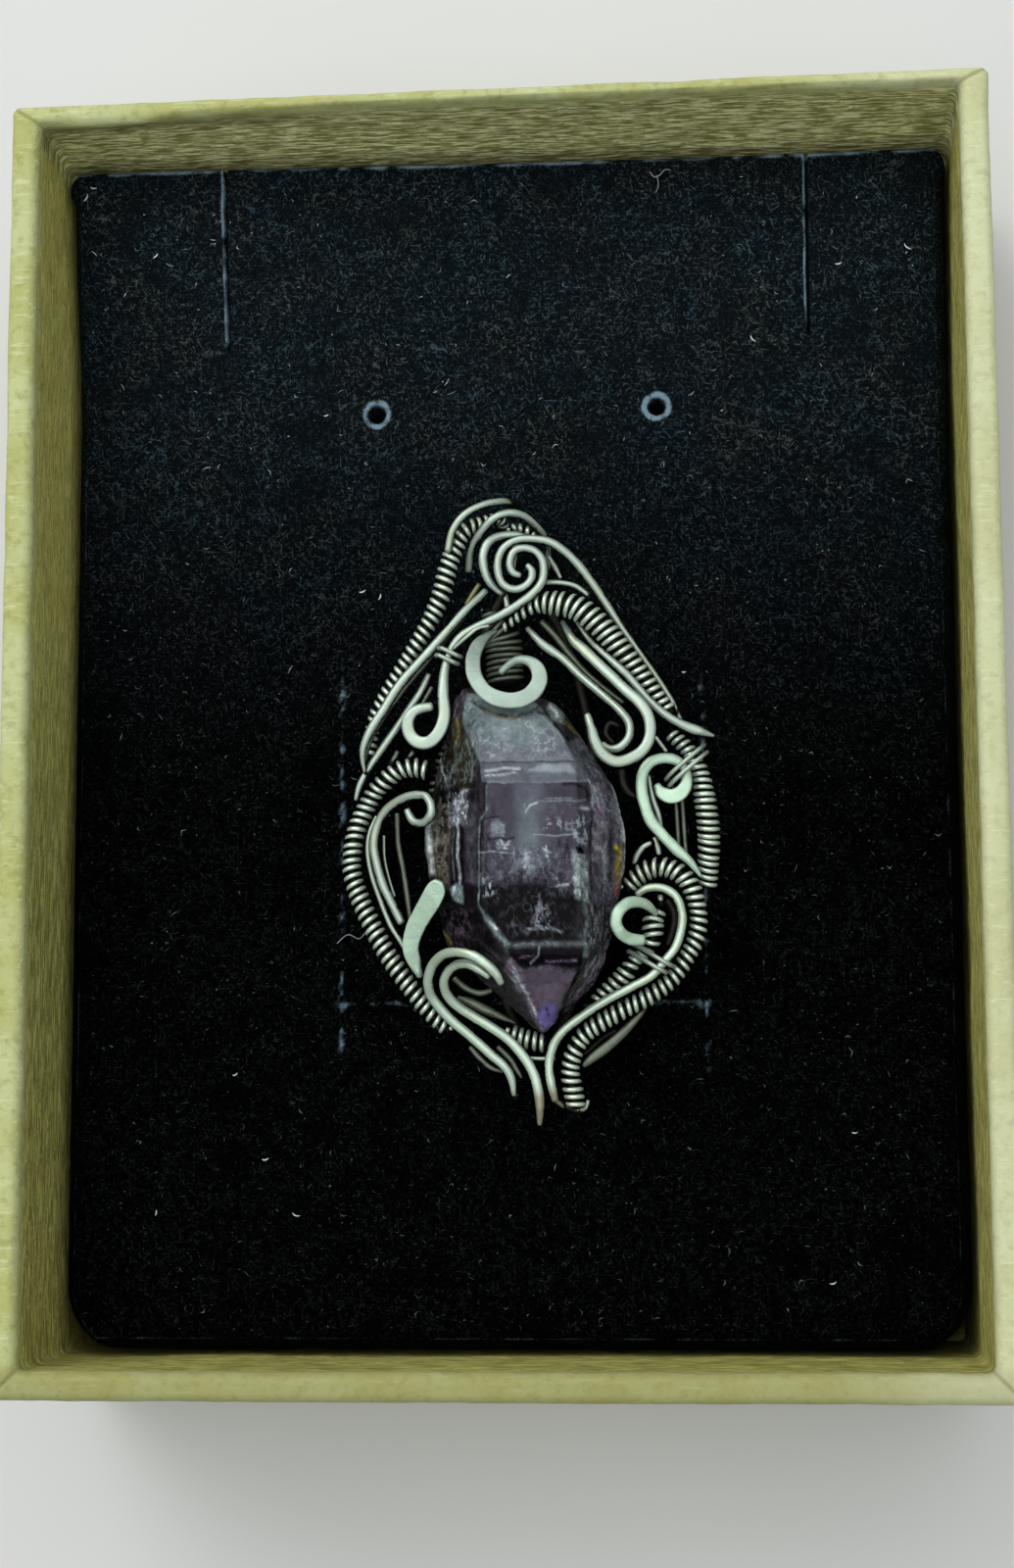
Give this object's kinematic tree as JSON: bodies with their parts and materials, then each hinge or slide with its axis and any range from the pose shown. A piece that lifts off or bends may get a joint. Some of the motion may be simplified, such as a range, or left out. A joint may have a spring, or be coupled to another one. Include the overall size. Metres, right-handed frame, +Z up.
{
  "type": "wire-wrapped crystal pendant in an open gift box",
  "caption": "Natural crystal point in a cage of scrolled and coiled oxidised silver wire with a looped bail, lying on the black flocked pad of an open kraft card box.",
  "frame": {"origin": "middle of the box's underside", "axes": "+Z up, +Y along the box's length from the crystal's tip to the bail, +X to the right seen from above"},
  "size_m": [0.069, 0.0904, 0.0271],
  "materials": {
    "kraft_card": "matt lining paper with fine wrinkles",
    "flocked_foam": "black flock with a pale fibre speckle",
    "amethyst": "glossy natural faces, veils inside",
    "silver_wire": "antiqued, satin highlights",
    "coiled_silver": "fine wire coil, blackened between the turns",
    "dark_silver": "oxidised",
    "hammered_silver": "hammered flat and brushed"
  },
  "bodies": {
    "root": {"tray": "kraft_card", "foam_pad": "flocked_foam", "crystal": "amethyst", "bail_wire_outer": "silver_wire", "bail_wire_inner": "silver_wire", "bail_coil": "coiled_silver", "inner_arc": "silver_wire", "spiral_right": "silver_wire", "spiral_left": "silver_wire", "left_coil": "coiled_silver", "left_strand": "silver_wire", "left_strand_under": "dark_silver", "centre_coil": "dark_silver", "centre_hook": "hammered_silver", "left_binding": "silver_wire", "left_cross_wire": "silver_wire", "left_side_coil": "coiled_silver", "left_curl": "silver_wire", "left_companion": "silver_wire", "left_back_wire": "dark_silver", "paddle": "hammered_silver", "bottom_scroll_outer": "silver_wire", "bottom_scroll_inner": "silver_wire", "bottom_point": "dark_silver", "bottom_coil": "coiled_silver", "tail_tie": "silver_wire", "right_shoulder_coil": "coiled_silver", "shoulder_wire": "silver_wire", "shoulder_back_wire": "dark_silver", "right_long": "silver_wire", "right_scroll_outer": "silver_wire", "right_scroll_inner": "silver_wire", "ring_scroll": "silver_wire", "right_binding": "silver_wire", "right_side_coil": "coiled_silver", "twin_wire_left": "dark_silver", "twin_wire_right": "dark_silver", "right_lower_coil": "coiled_silver", "coil_stem": "silver_wire", "coil_stem_short": "silver_wire", "heart_wire": "silver_wire", "heart_binding": "silver_wire", "right_c_hook": "silver_wire", "right_inner_coil": "coiled_silver", "tail_chord": "dark_silver", "tail_chord_thin": "silver_wire", "back_wire_left": "dark_silver", "back_wire_right": "dark_silver"}
  },
  "joints": []
}
